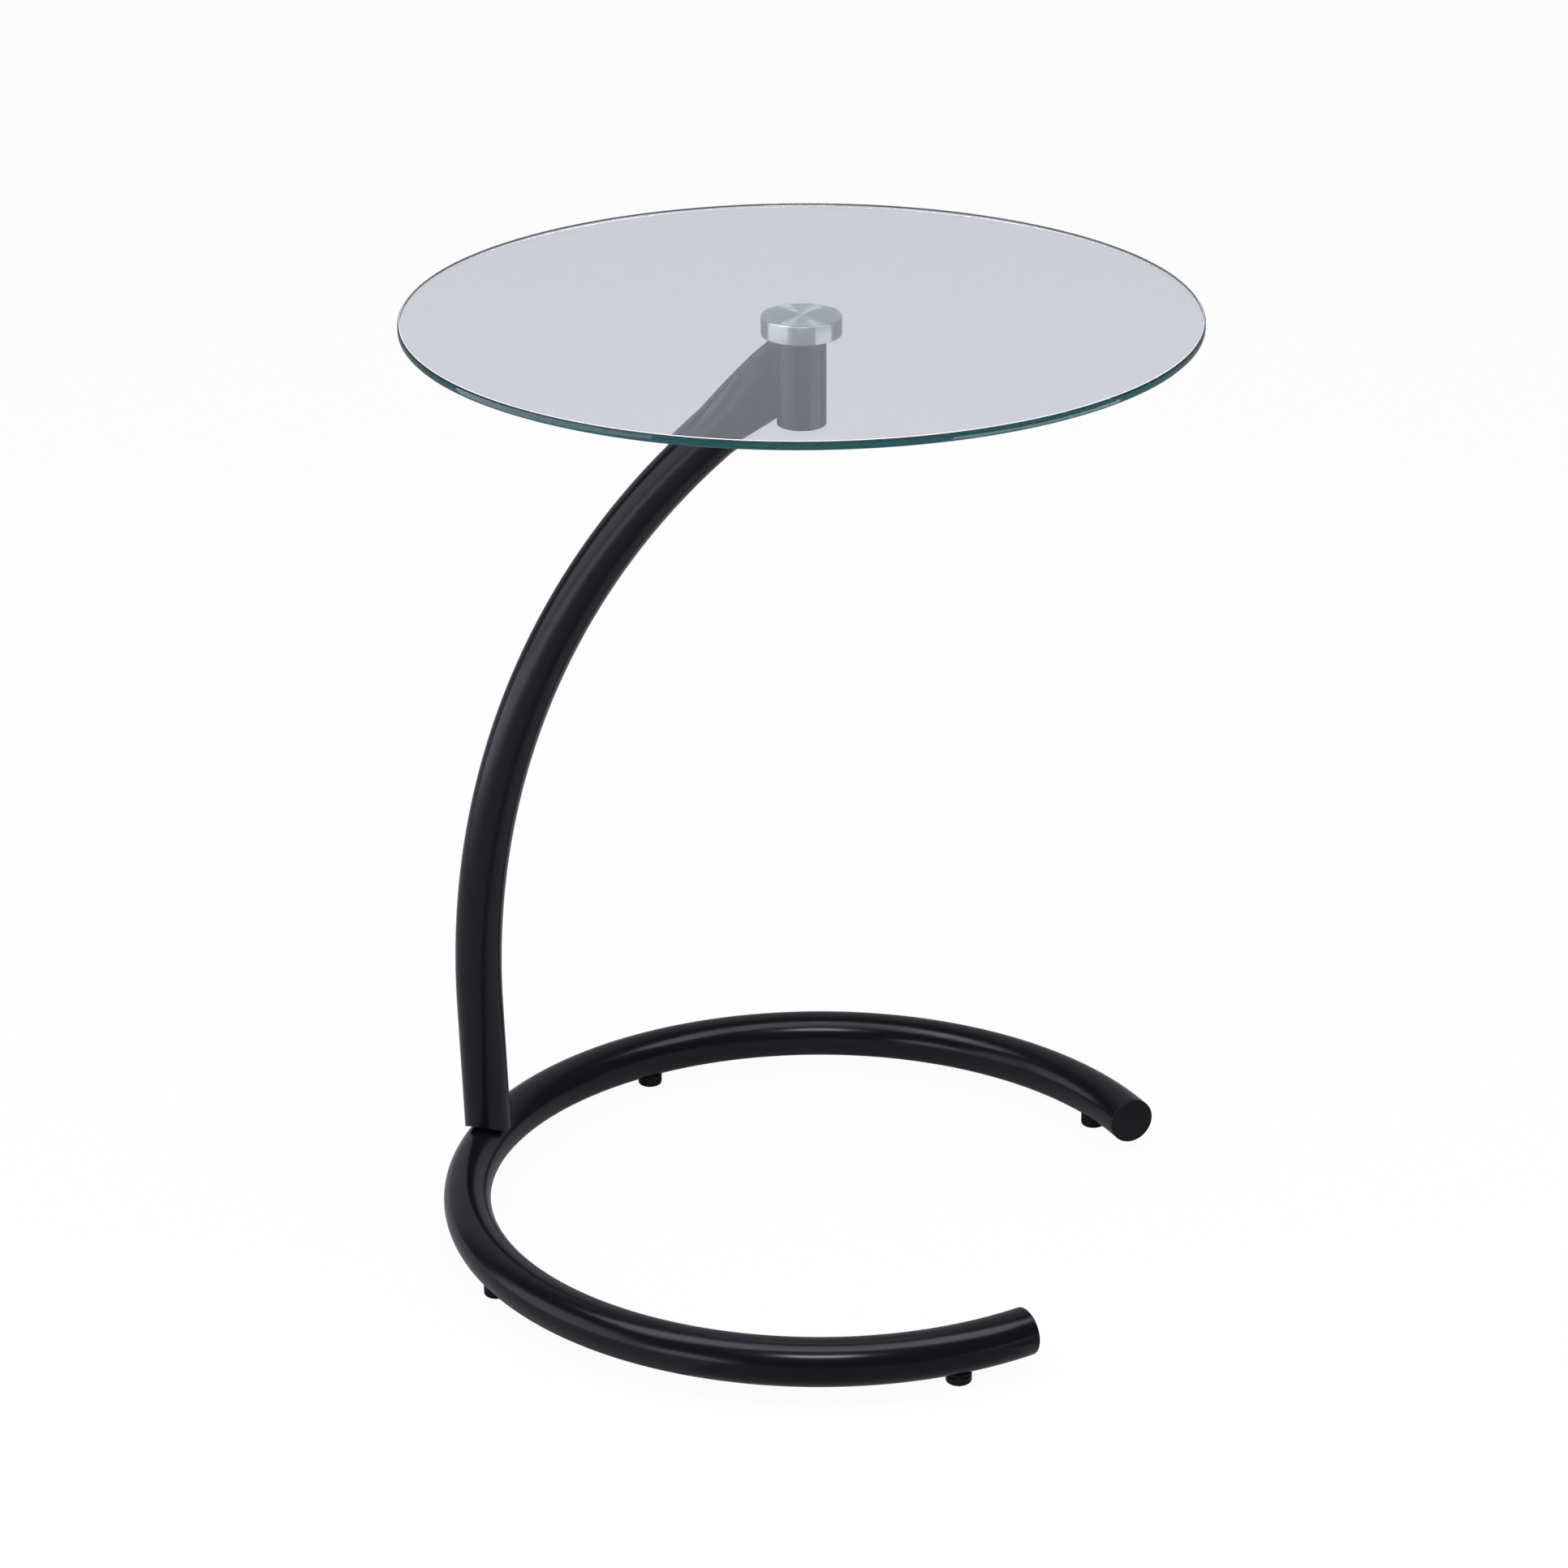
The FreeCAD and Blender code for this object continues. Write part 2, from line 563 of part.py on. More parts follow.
# ------------------------------------------------------------------------------------ build
def main():
    """Build every sub-part and write it to parts/."""
    os.makedirs("parts", exist_ok=True)
    path = UprightPath()
    print("bend radius %.1f mm over %.2f degrees" % (path.radius, math.degrees(path.angle)))
    nodes = {"glass_top": glass_top(), "bond_film": bond_film(), "mount_disc": mount_disc(),
             "post_tube": post_tube(), "post_top_plate": post_top_plate(),
             "post_plug": raised(tube_plug(), POST_Z),
             "upright_tube": upright_tube(path), "upright_insert": upright_insert(),
             "base_ring": base_ring(),
             "ring_cap_left": ring_cap(RING_END_ANGLE, 1),
             "ring_cap_right": ring_cap(-RING_END_ANGLE, -1)}
    nodes.update(top_fasteners())
    nodes.update(post_welds(path))
    nodes.update(base_fasteners())
    for number, angle in enumerate(foot_angles(), 1):
        nodes["foot_insert_%d" % number] = foot_insert(angle)
        nodes["foot_stud_%d" % number] = foot_stud(angle)
        nodes["foot_pad_%d" % number] = foot_pad(angle)
    for node, shape in nodes.items():
        save(shape, node)


main()
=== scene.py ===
"""Dressed model of a C-shaped side table: glass top, bent tube upright, open ring base."""

from __future__ import annotations

import logging
import math
from collections.abc import Callable, Iterator
from contextlib import contextmanager
from dataclasses import dataclass, field
from enum import Enum
from typing import Any

import bmesh
import bpy
from mathutils import Matrix, Vector

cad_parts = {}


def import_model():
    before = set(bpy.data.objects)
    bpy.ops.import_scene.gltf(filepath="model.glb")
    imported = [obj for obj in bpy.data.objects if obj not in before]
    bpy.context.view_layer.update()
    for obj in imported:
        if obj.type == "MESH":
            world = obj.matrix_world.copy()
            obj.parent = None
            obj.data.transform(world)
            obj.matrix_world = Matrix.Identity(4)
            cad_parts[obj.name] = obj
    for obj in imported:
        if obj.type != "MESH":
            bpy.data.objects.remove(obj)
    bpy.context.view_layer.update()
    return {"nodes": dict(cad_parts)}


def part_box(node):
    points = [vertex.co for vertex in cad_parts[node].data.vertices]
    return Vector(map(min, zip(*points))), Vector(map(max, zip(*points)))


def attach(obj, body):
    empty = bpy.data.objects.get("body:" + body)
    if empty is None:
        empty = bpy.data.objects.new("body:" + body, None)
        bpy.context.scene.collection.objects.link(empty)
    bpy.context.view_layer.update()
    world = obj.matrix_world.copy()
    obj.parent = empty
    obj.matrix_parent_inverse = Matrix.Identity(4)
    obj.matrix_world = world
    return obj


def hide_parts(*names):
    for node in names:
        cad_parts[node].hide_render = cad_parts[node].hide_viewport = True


MM = 0.001
UP = Vector((0.0, 0.0, 1.0))
CROSS = Vector((0.0, 1.0, 0.0))
BODY = "table"
LOG = logging.getLogger("side_table")

# sockets of the Mix node when it mixes colours, and when it mixes numbers
MIX_A, MIX_B, MIX_RESULT = 6, 7, 2
NUMBER_A, NUMBER_B = 2, 3
# kind of node that all sums and tests are made of
MATH = "ShaderNodeMath"
# distance between the crests of the Wave texture at a scale of 1
WAVE_PERIOD = math.tau / 20
# a turned piece's level edges that bend by more than this are its rims
RIM_ANGLE = math.radians(20)
# its sides are faces of four corners, and its ends have many more
SIDE_CORNERS = 4


class Slot(Enum):
    """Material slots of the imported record."""

    GLASS = "glass"
    ADHESIVE = "adhesive"
    ALUMINIUM = "satin_aluminium"
    COAT = "black_coat"
    PLASTIC = "black_plastic"
    ZINC = "zinc_steel"


# ---- colour, nodes ----
def linear(code: str) -> tuple[float, float, float, float]:
    """Linear colour of an sRGB hex code.

    Args:
        code: Six hex digits after a hash.

    Returns:
        Red, green, blue and an alpha of 1.
    """

    def channel(value: float) -> float:
        """One channel from its encoded value."""
        return value / 12.92 if value <= 0.04045 else ((value + 0.055) / 1.055) ** 2.4

    red, green, blue = (channel(int(code[i : i + 2], 16) / 255) for i in (1, 3, 5))
    return red, green, blue, 1.0


def add_node(
    tree: bpy.types.NodeTree,
    kind: str,
    inputs: dict[str | int, Any] | None = None,
    **settings: Any,
) -> bpy.types.Node:
    """Add one node with its settings and links.

    Args:
        tree: Node tree that gets it.
        kind: Blender's name for the node type.
        inputs: For each input socket a plain value, or the output socket that feeds it.
        **settings: Properties of the node itself.

    Returns:
        The new node.
    """
    node = tree.nodes.new(kind)
    for name, value in settings.items():
        setattr(node, name, value)
    for socket, value in (inputs or {}).items():
        if isinstance(value, bpy.types.NodeSocket):
            tree.links.new(value, node.inputs[socket])
        else:
            node.inputs[socket].default_value = value
    return node


def new_tree(owner: bpy.types.Material | bpy.types.World) -> bpy.types.NodeTree:
    """Node tree of a material or world, emptied.

    Args:
        owner: Material or world.

    Returns:
        Its node tree, without the nodes that it starts with.
    """
    owner.use_nodes = True
    owner.node_tree.nodes.clear()
    return owner.node_tree


def seen_plainly(tree: bpy.types.NodeTree) -> bpy.types.NodeSocket:
    """1 for a ray from the camera or through a clear thing, else 0.

    Args:
        tree: Node tree that gets the nodes.

    Returns:
        The socket that says so.
    """
    path = add_node(tree, "ShaderNodeLightPath").outputs
    rays = {0: path["Is Camera Ray"], 1: path["Is Transmission Ray"]}
    return add_node(tree, MATH, rays, operation="MAXIMUM").outputs[0]


# ---- finishes ----
@dataclass(frozen=True)
class GrainedFinish:
    """Opaque surface with slow clouds in its colour and gloss and a fine grain as bump."""

    name: str
    colour: str
    cloud_colour: str
    roughness: float
    roughness_spread: float
    specular: float
    metallic: float
    grain_mm: float
    grain_depth_mm: float
    cloud_mm: float
    detail: float = 2.0

    def material(self) -> bpy.types.Material:
        """Build the material."""
        made = bpy.data.materials.new(self.name)
        tree = new_tree(made)
        place = add_node(tree, "ShaderNodeTexCoord").outputs["Object"]
        cloud, grain = (
            add_node(
                tree,
                "ShaderNodeTexNoise",
                {"Vector": place, "Scale": 1 / (size_mm * MM), "Detail": self.detail},
            ).outputs["Fac"]
            for size_mm in (self.cloud_mm, self.grain_mm)
        )
        colour = add_node(
            tree,
            "ShaderNodeMix",
            {"Factor": cloud, MIX_A: linear(self.colour), MIX_B: linear(self.cloud_colour)},
            data_type="RGBA",
        ).outputs[MIX_RESULT]
        roughness = add_node(
            tree,
            "ShaderNodeMapRange",
            {
                "Value": cloud,
                "To Min": self.roughness - self.roughness_spread,
                "To Max": self.roughness + self.roughness_spread,
            },
        ).outputs["Result"]
        normal = add_node(
            tree, "ShaderNodeBump", {"Height": grain, "Distance": self.grain_depth_mm * MM}
        ).outputs["Normal"]
        shader = add_node(
            tree,
            "ShaderNodeBsdfPrincipled",
            {
                "Base Color": colour,
                "Metallic": self.metallic,
                "Roughness": roughness,
                "Specular IOR Level": self.specular,
                "Normal": normal,
            },
        )
        add_node(tree, "ShaderNodeOutputMaterial", {"Surface": shader.outputs["BSDF"]})
        return made


# Polyester powder coat stoved on steel tube: a closed film, nearly black, whose reflections
# have soft edges and a faint orange peel. Real peel is 1 to 2 mm from crest to crest.
POWDER_COAT = GrainedFinish(
    name="powder_coat_black",
    colour="#0c0b10",
    cloud_colour="#121118",
    roughness=0.2,
    roughness_spread=0.03,
    specular=0.36,
    metallic=0.0,
    grain_mm=1.6,
    grain_depth_mm=0.005,
    cloud_mm=70.0,
)
# Polyethylene moulded in a spark-eroded tool: dull black with a fine grain.
MOULDED_PLASTIC = GrainedFinish(
    name="moulded_polyethylene_black",
    colour="#0e0d10",
    cloud_colour="#151418",
    roughness=0.46,
    roughness_spread=0.05,
    specular=0.3,
    metallic=0.0,
    grain_mm=0.5,
    grain_depth_mm=0.012,
    cloud_mm=12.0,
)
# Steel, zinc plated: pale grey metal, slightly blue, with a soft mottled gloss.
ZINC_PLATE = GrainedFinish(
    name="zinc_plated_steel",
    colour="#a9abac",
    cloud_colour="#8f9294",
    roughness=0.34,
    roughness_spread=0.08,
    specular=0.5,
    metallic=1.0,
    grain_mm=0.4,
    grain_depth_mm=0.004,
    cloud_mm=5.0,
)


@dataclass(frozen=True)
class TurnedAluminium:
    """Aluminium bar faced on a lathe and polished.

    The tool leaves fine rings round the axis, so light draws out into rays across the face.
    """

    name: str = "turned_aluminium"
    colour: str = "#f1f4e6"
    shade_colour: str = "#dde1dc"
    roughness: float = 0.3
    anisotropy: float = 0.97
    # a quarter turn from the tangent round the axis, so that the rays point at the axis
    ray_turn: float = 0.25
    # A real feed is about 0.1 mm; the rings are drawn coarser so that they show.
    ring_mm: float = 0.5
    ring_depth_mm: float = 0.002
    ring_waver: float = 0.4
    wear_mm: float = 9.0
    wear_detail: float = 3.0

    def material(self) -> bpy.types.Material:
        """Build the material, with rings about the object's own Z axis."""
        made = bpy.data.materials.new(self.name)
        tree = new_tree(made)
        place = add_node(tree, "ShaderNodeTexCoord").outputs["Object"]
        rings = add_node(
            tree,
            "ShaderNodeTexWave",
            {
                "Vector": place,
                "Scale": WAVE_PERIOD / (self.ring_mm * MM),
                "Distortion": self.ring_waver,
            },
            wave_type="RINGS",
            rings_direction="Z",
        ).outputs["Fac"]
        wear = add_node(
            tree,
            "ShaderNodeTexNoise",
            {"Vector": place, "Scale": 1 / (self.wear_mm * MM), "Detail": self.wear_detail},
        ).outputs["Fac"]
        colour = add_node(
            tree,
            "ShaderNodeMix",
            {"Factor": wear, MIX_A: linear(self.colour), MIX_B: linear(self.shade_colour)},
            data_type="RGBA",
        ).outputs[MIX_RESULT]
        normal = add_node(
            tree, "ShaderNodeBump", {"Height": rings, "Distance": self.ring_depth_mm * MM}
        ).outputs["Normal"]
        tangent = add_node(
            tree, "ShaderNodeTangent", direction_type="RADIAL", axis="Z"
        ).outputs["Tangent"]
        shader = add_node(
            tree,
            "ShaderNodeBsdfPrincipled",
            {
                "Base Color": colour,
                "Metallic": 1.0,
                "Roughness": self.roughness,
                "Anisotropic": self.anisotropy,
                "Anisotropic Rotation": self.ray_turn,
                "Normal": normal,
                "Tangent": tangent,
            },
        )
        add_node(tree, "ShaderNodeOutputMaterial", {"Surface": shader.outputs["BSDF"]})
        return made


@dataclass(frozen=True)
class ClearFinish:
    """Clear solid: tinted where light enters, darker along a long way through it."""

    name: str
    tint: str
    ior: float
    body_colour: str
    body_density: float
    # roughness of the ground arrises, none at 0
    arris_roughness: float = 0.0
    # how level an arris at 45 degrees is, and how far from that a face still counts as one
    arris_slope: float = 0.707
    slope_margin: float = 0.25
    # height of the piece's top, under which the upper arris has a narrow whitish line: partly
    # the frost of the ground arris, partly a painted highlight of the light that the arris
    # catches
    frost_highlight_height: float = 0.0
    frost_highlight_width: float = 0.4 * MM
    frost_highlight_colour: str = "#e2e5ea"

    def ground_arrises(
        self, tree: bpy.types.NodeTree, shader: bpy.types.Node
    ) -> bpy.types.NodeSocket:
        """Roughen the arrises and lay a whitish line on the upper one, partly frost and partly
        painted highlight.

        Args:
            tree: Node tree of the material.
            shader: Clear shader of the whole piece.

        Returns:
            The surface with that line of frost and painted highlight, which only shows from
            outside the piece.
        """
        seen = add_node(tree, "ShaderNodeTexCoord").outputs
        facing, height = (
            add_node(tree, "ShaderNodeSeparateXYZ", {"Vector": seen[name]}).outputs["Z"]
            for name in ("Normal", "Object")
        )
        slope = add_node(tree, MATH, {0: facing}, operation="ABSOLUTE").outputs[0]
        ground = add_node(
            tree,
            MATH,
            {0: slope, 1: self.arris_slope, 2: self.slope_margin},
            operation="COMPARE",
        ).outputs[0]
        roughness = add_node(
            tree, MATH, {0: ground, 1: self.arris_roughness}, operation="MULTIPLY"
        ).outputs[0]
        tree.links.new(roughness, shader.inputs["Roughness"])
        high = add_node(
            tree,
            MATH,
            {0: height, 1: self.frost_highlight_height - self.frost_highlight_width},
            operation="GREATER_THAN",
        ).outputs[0]
        inside = add_node(tree, "ShaderNodeNewGeometry").outputs["Backfacing"]
        outside = add_node(tree, MATH, {0: 1.0, 1: inside}, operation="SUBTRACT").outputs[0]
        # painted highlight: a whitish diffuse line on the upper arris, seen only from outside,
        # stands partly for the frost of the ground arris and partly for the light the top arris
        # catches
        frost_and_highlight = ground
        for share in (high, outside):
            frost_and_highlight = add_node(tree, MATH, {0: frost_and_highlight, 1: share}, operation="MULTIPLY").outputs[0]
        scattered = add_node(
            tree, "ShaderNodeBsdfDiffuse", {"Color": linear(self.frost_highlight_colour)}
        ).outputs["BSDF"]
        return add_node(
            tree, "ShaderNodeMixShader", {"Fac": frost_and_highlight, 1: shader.outputs["BSDF"], 2: scattered}
        ).outputs["Shader"]

    def material(self) -> bpy.types.Material:
        """Build the material."""
        made = bpy.data.materials.new(self.name)
        tree = new_tree(made)
        shader = add_node(
            tree,
            "ShaderNodeBsdfPrincipled",
            {
                "Base Color": linear(self.tint),
                "Roughness": 0.0,
                "IOR": self.ior,
                "Transmission Weight": 1.0,
            },
        )
        surface = shader.outputs["BSDF"]
        if self.arris_roughness:
            surface = self.ground_arrises(tree, shader)
        body = add_node(
            tree,
            "ShaderNodeVolumeAbsorption",
            {"Color": linear(self.body_colour), "Density": self.body_density},
        ).outputs["Volume"]
        add_node(tree, "ShaderNodeOutputMaterial", {"Surface": surface, "Volume": body})
        return made


# Tempered soda-lime float glass: neutral through its face, dark green along its width,
# because the iron in it takes red light first. Its arrises are ground and stay a little
# frosted; the whitish line on the upper arris is partly that frost and partly a painted
# highlight.
FLOAT_GLASS = ClearFinish(
    name="float_glass",
    tint="#e2e0e7",
    ior=1.52,
    body_colour="#3ec0bd",
    body_density=8.3,
    arris_roughness=0.4,
    # the upper arris's whitish line is partly frost and partly a painted highlight
    frost_highlight_height=643.5 * MM,
)
# Acrylic adhesive cured by light: colourless. It wets the glass and the disc, so light
# hardly bends where it enters.
ADHESIVE = ClearFinish(
    name="clear_adhesive", tint="#f4fbf9", ior=1.05, body_colour="#ffffff", body_density=0.0
)


# ---- modelling by hand ----
def deselect() -> None:
    """Clear the selection, so that operators act on new work alone."""
    bpy.ops.object.select_all(action="DESELECT")


def choose(piece: bpy.types.Object) -> None:
    """Select one piece alone and make it active.

    Args:
        piece: Mesh object.
    """
    deselect()
    piece.select_set(True)
    bpy.context.view_layer.objects.active = piece


@contextmanager
def editing(piece: bpy.types.Object) -> Iterator[bmesh.types.BMesh]:
    """Edit mode on one piece.

    Args:
        piece: Mesh object to edit.

    Yields:
        Its edit mesh, valid until an operator changes the mesh.
    """
    choose(piece)
    bpy.ops.object.mode_set(mode="EDIT")
    try:
        yield bmesh.from_edit_mesh(piece.data)
    finally:
        bpy.ops.object.mode_set(mode="OBJECT")


def pick(piece: bpy.types.Object, mode: str, test: Callable[[Any], bool]) -> None:
    """Select elements of the piece in edit mode by a test.

    Args:
        piece: Mesh object in edit mode.
        mode: VERT, EDGE or FACE.
        test: Says whether an element is wanted.
    """
    bpy.ops.mesh.select_mode(type=mode)
    bpy.ops.mesh.select_all(action="DESELECT")
    mesh = bmesh.from_edit_mesh(piece.data)
    kind = {"VERT": mesh.verts, "EDGE": mesh.edges, "FACE": mesh.faces}[mode]
    for element in [element for element in kind if test(element)]:
        element.select_set(True)
    mesh.select_flush_mode()
    bmesh.update_edit_mesh(piece.data)


def start_circle(
    name: str,
    radius: float,
    vertices: int,
    place: Vector,
    turn: tuple[float, float, float] = (0.0, 0.0, 0.0),
    filled: bool = False,
) -> bpy.types.Object:
    """First loop of a piece.

    Args:
        name: Piece name.
        radius: Of the circle, in metres.
        vertices: Number of them.
        place: Centre.
        turn: Euler angles in radians.
        filled: Whether it starts as a face.

    Returns:
        The new object, at the origin with its place in its mesh.
    """
    deselect()
    bpy.ops.mesh.primitive_circle_add(
        vertices=vertices,
        radius=radius,
        fill_type="NGON" if filled else "NOTHING",
        location=place,
        rotation=turn,
    )
    piece = bpy.context.object
    piece.name = piece.data.name = name
    settle(piece)
    return piece


def settle(piece: bpy.types.Object) -> None:
    """Move a piece's place, turn and scale into its mesh.

    Args:
        piece: Mesh object, left at the origin.
    """
    choose(piece)
    bpy.ops.object.transform_apply(location=True, rotation=True, scale=True)


def modify(piece: bpy.types.Object, kind: str, **settings: Any) -> None:
    """Add one modifier and apply it.

    Args:
        piece: Mesh object that gets it.
        kind: Blender's name for the modifier type.
        **settings: Properties of the modifier.
    """
    choose(piece)
    modifier = piece.modifiers.new(kind.title(), kind)
    for name, value in settings.items():
        setattr(modifier, name, value)
    bpy.ops.object.modifier_apply(modifier=modifier.name)


def smooth(piece: bpy.types.Object, degrees: float = 40.0) -> None:
    """Shade a piece smooth, apart from its sharp edges.

    Args:
        piece: Mesh object.
        degrees: Angle above which an edge stays sharp.
    """
    choose(piece)
    bpy.ops.object.shade_smooth_by_angle(angle=math.radians(degrees))


def turned(
    name: str,
    profile: list[tuple[float, float]],
    vertices: int,
    bevel: float = 0.0,
    segments: int = 2,
    axis: Vector = Vector(),
) -> bpy.types.Object:
    """Closed round piece raised from a disc by extruding and resizing.

    Args:
        name: Piece name.
        profile: Radius and height of each rim, from the lowest up.
        vertices: Number round the axis.
        bevel: Width of the softened rims, none at 0.
        segments: Of that bevel.
        axis: Where the upright axis stands.

    Returns:
        The piece, smooth round the axis and flat on its two ends.
    """
    radius, height = profile[0]
    piece = start_circle(name, radius, vertices, axis + UP * height, filled=True)
    with editing(piece):
        for next_radius, next_height in profile[1:]:
            bpy.ops.mesh.extrude_region_move(
                TRANSFORM_OT_translate={"value": (0, 0, next_height - height)}
            )
            grow = next_radius / radius
            bpy.ops.transform.resize(
                value=(grow, grow, 1), center_override=axis + UP * next_height
            )
            radius, height = next_radius, next_height
        if bevel:
            slack = bevel / 10
            pick(
                piece,
                "EDGE",
                lambda edge: abs(edge.verts[0].co.z - edge.verts[1].co.z) < slack
                and edge.calc_face_angle(0.0) > RIM_ANGLE,
            )
            bpy.ops.mesh.bevel(offset=bevel, segments=segments, affect="EDGES")
        bpy.ops.mesh.select_all(action="SELECT")
        bpy.ops.mesh.normals_make_consistent(inside=False)
    for polygon in piece.data.polygons:
        polygon.use_smooth = len(polygon.vertices) == SIDE_CORNERS
    return piece


# ---- the pieces ----
@dataclass
class Dresser:
    """Hands each piece its finish, slot and body, and reports it."""

    materials: dict[Slot, bpy.types.Material]

    def seat(self, piece: bpy.types.Object, slot: Slot, *nodes: str) -> None:
        """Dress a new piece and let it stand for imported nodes.

        Args:
            piece: Finished mesh object.
            slot: Its material slot.
            *nodes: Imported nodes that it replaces.
        """
        piece.data.materials.clear()
        piece.data.materials.append(self.materials[slot])
        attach(piece, BODY)
        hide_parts(*nodes)
        LOG.info("%s: %d faces, for %s", piece.name, len(piece.data.polygons), nodes)

    def keep(self, node: bpy.types.Object, slot: Slot) -> None:
        """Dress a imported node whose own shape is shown.

        Args:
            node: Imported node.
            slot: Its material slot.
        """
        node.data.materials.clear()
        node.data.materials.append(self.materials[slot])
        LOG.info("%s: packed shape, %s", node.name, slot.value)


@dataclass
class RoundTop:
    """Glass plate, the adhesive under it and the aluminium disc that holds it."""

    dresser: Dresser
    arris: float = 1.2 * MM
    softening: float = 0.2 * MM
    plate_vertices: int = 320
    disc_vertices: int = 160
    disc_chamfer: float = 0.5 * MM
    disc_softening: float = 0.12 * MM
    film_gap: float = 0.01 * MM

    def build(self) -> None:
        """Make the three pieces."""
        low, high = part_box("glass_top")
        radius = high.x
        rim = radius - self.arris
        plate = turned(
            "glass_plate",
            [
                (rim, low.z),
                (radius, low.z + self.arris),
                (radius, high.z - self.arris),
                (rim, high.z),
            ],
            self.plate_vertices,
            self.softening,
        )
        self.dresser.seat(plate, Slot.GLASS, "glass_top")

        low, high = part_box("bond_film")
        film = turned(
            "adhesive_film",
            [(high.x, low.z + self.film_gap), (high.x, high.z - self.film_gap)],
            self.disc_vertices,
        )
        self.dresser.seat(film, Slot.ADHESIVE, "bond_film")

        low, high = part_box("mount_disc")
        rim = high.x - self.disc_chamfer
        disc = turned(
            "turned_disc",
            [
                (rim, low.z),
                (high.x, low.z + self.disc_chamfer),
                (high.x, high.z - self.disc_chamfer),
                (rim, high.z),
            ],
            self.disc_vertices,
            self.disc_softening,
        )
        self.dresser.seat(disc, Slot.ALUMINIUM, "mount_disc")


@dataclass
class Upright:
    """Bent tube: saddle cut at its foot, pressed flat and coped on the post at its top."""

    dresser: Dresser
    tube_radius: float = 15.9 * MM
    wall: float = 1.5 * MM
    crown: Vector = Vector((-229.0 * MM, 0.0, 39.4 * MM))
    lean: float = math.radians(-1.85)
    lower_straight: float = 90.0 * MM
    bend_radius: float = 567.8467 * MM
    bend_angle: float = math.radians(50.15913)
    upper_straight: float = 35.0 * MM
    pressed_length: float = 56.0 * MM
    pressed_thickness: float = 12.8 * MM
    press_power: float = 1.2
    round_corner: float = math.radians(45.0)
    flat_corner: float = math.radians(4.0)
    saddle_radius: float = 22.0 * MM
    saddle_gap: float = 3.0 * MM
    weld_gap: float = 0.2 * MM
    top_clearance: float = 0.3 * MM
    vertices: int = 96
    foot_loops: int = 8
    bend_loops: int = 70
    press_loops: int = 24
    # rounds in which a cut through the tube's face is closed in on
    search_rounds: int = 30
    post_radius: float = field(init=False)
    disc_level: float = field(init=False)
    length: float = field(init=False)

    def __post_init__(self) -> None:
        """Work out what follows from the sizes."""
        self.post_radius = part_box("post_tube")[1].x
        self.disc_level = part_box("mount_disc")[0].z
        self.length = (
            self.lower_straight + self.bend_radius * self.bend_angle + self.upper_straight
        )

    @staticmethod
    def along(heading: float) -> Vector:
        """Unit vector of a heading, counted from +Z towards +X."""
        return Vector((math.sin(heading), 0.0, math.cos(heading)))

    @staticmethod
    def across(heading: float) -> Vector:
        """Unit vector square to a heading, on the inner side of the C."""
        return Vector((math.cos(heading), 0.0, -math.sin(heading)))

    def at(self, distance: float) -> tuple[Vector, float]:
        """Point and heading on the centre line.

        Args:
            distance: From the ring's crown, which may lie before the start or past the end.

        Returns:
            The point and its heading.
        """
        if distance <= self.lower_straight:
            return self.crown + self.along(self.lean) * distance, self.lean
        bend_length = self.bend_radius * self.bend_angle
        in_bend = min(distance - self.lower_straight, bend_length)
        heading = self.lean + in_bend / self.bend_radius
        bend_start = self.crown + self.along(self.lean) * self.lower_straight
        centre = bend_start + self.across(self.lean) * self.bend_radius
        point = centre - self.across(heading) * self.bend_radius
        past = distance - self.lower_straight - in_bend
        return point + self.along(heading) * past, heading

    def skin(self, distance: float, turn: float) -> Vector:
        """Point on the tube's outer face.

        Args:
            distance: Along the centre line.
            turn: Round the tube, from +Y over the outer side of the C.

        Returns:
            The point. Where the tube is pressed, its section is four tangent arcs with the
            round tube's girth.
        """
        point, heading = self.at(distance)
        into = (distance - self.length + self.pressed_length) / self.pressed_length
        pressed = min(max(into, 0.0), 1.0) ** self.press_power
        corner = self.round_corner + (self.flat_corner - self.round_corner) * pressed
        narrowed = self.pressed_thickness / 2 - self.tube_radius
        half_width = self.tube_radius + narrowed * pressed
        spread = math.cos(corner) + math.sin(corner) - 1
        end_share = math.pi / 2 - corner
        shift = (corner * math.cos(corner) - end_share * math.sin(corner)) / spread
        girth_left = math.pi / 2 * self.tube_radius - half_width * (corner - shift)
        half_height = girth_left / (end_share + shift)
        gap = (half_height - half_width) / spread
        end_radius = half_height - gap * math.sin(corner)
        side_radius = half_width + gap * math.cos(corner)
        quarter = math.pi / 4
        folded = (turn + quarter) % math.pi - quarter
        sign = 1 if math.cos(turn - folded) > 0 else -1
        if folded <= quarter:
            angle = folded / quarter * corner
            wide = side_radius * math.cos(angle) - gap * math.cos(corner)
            high = side_radius * math.sin(angle)
        else:
            angle = (folded - math.pi / 2) / quarter * end_share
            wide = -end_radius * math.sin(angle)
            high = end_radius * math.cos(angle) + gap * math.sin(corner)
        return point + CROSS * (wide * sign) - self.across(heading) * (high * sign)

    def over_saddle(self, point: Vector) -> bool:
        """Whether a point lies above the hollow cut across the foot.

        Args:
            point: Point on the tube's face.

        Returns:
            True where the tube stays.
        """
        centre = self.crown + UP * (self.saddle_gap - self.saddle_radius)
        reach = math.hypot(point.x - centre.x, point.z - centre.z)
        return point.z > centre.z and reach > self.saddle_radius

    def before_post(self, point: Vector) -> bool:
        """Whether a point lies outside the post and below the disc.

        Args:
            point: Point on the tube's face.

        Returns:
            True where the tube stays.
        """
        limit = self.post_radius + self.weld_gap
        outside = point.x < 0 and math.hypot(point.x, point.y) > limit
        return outside and point.z < self.disc_level - self.top_clearance

